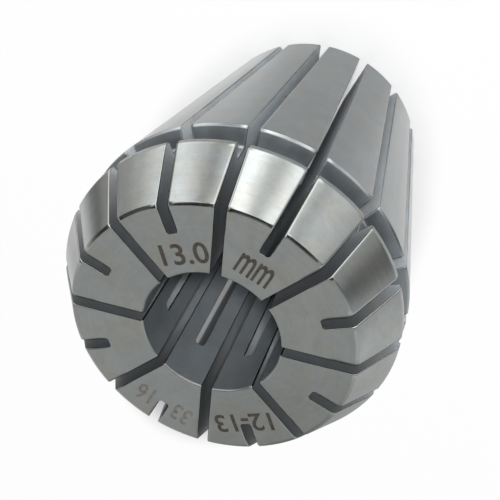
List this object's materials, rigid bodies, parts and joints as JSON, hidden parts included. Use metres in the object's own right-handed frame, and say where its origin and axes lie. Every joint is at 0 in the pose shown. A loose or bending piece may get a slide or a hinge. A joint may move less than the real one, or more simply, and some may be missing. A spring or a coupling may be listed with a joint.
{
  "type": "er collet",
  "caption": "Slotted one-piece spring collet with a long 8 degree taper, a 30 degree nose, an extraction groove and a through bore for a round tool shank.",
  "frame": {"origin": "on the collet's axis, at the small rear end it stands on", "axes": "+Z along the axis, from the small rear end to the front face where the tool goes in; +X through the middle of a slot sawn in from the front"},
  "size_m": [0.033, 0.033, 0.04],
  "materials": {
    "ground_steel": "hardened steel, bright ground taper and nose, satin front face",
    "etched_mark": "dark laser etching in the front face"
  },
  "bodies": {
    "root": {"collet": "ground_steel"}
  },
  "joints": []
}
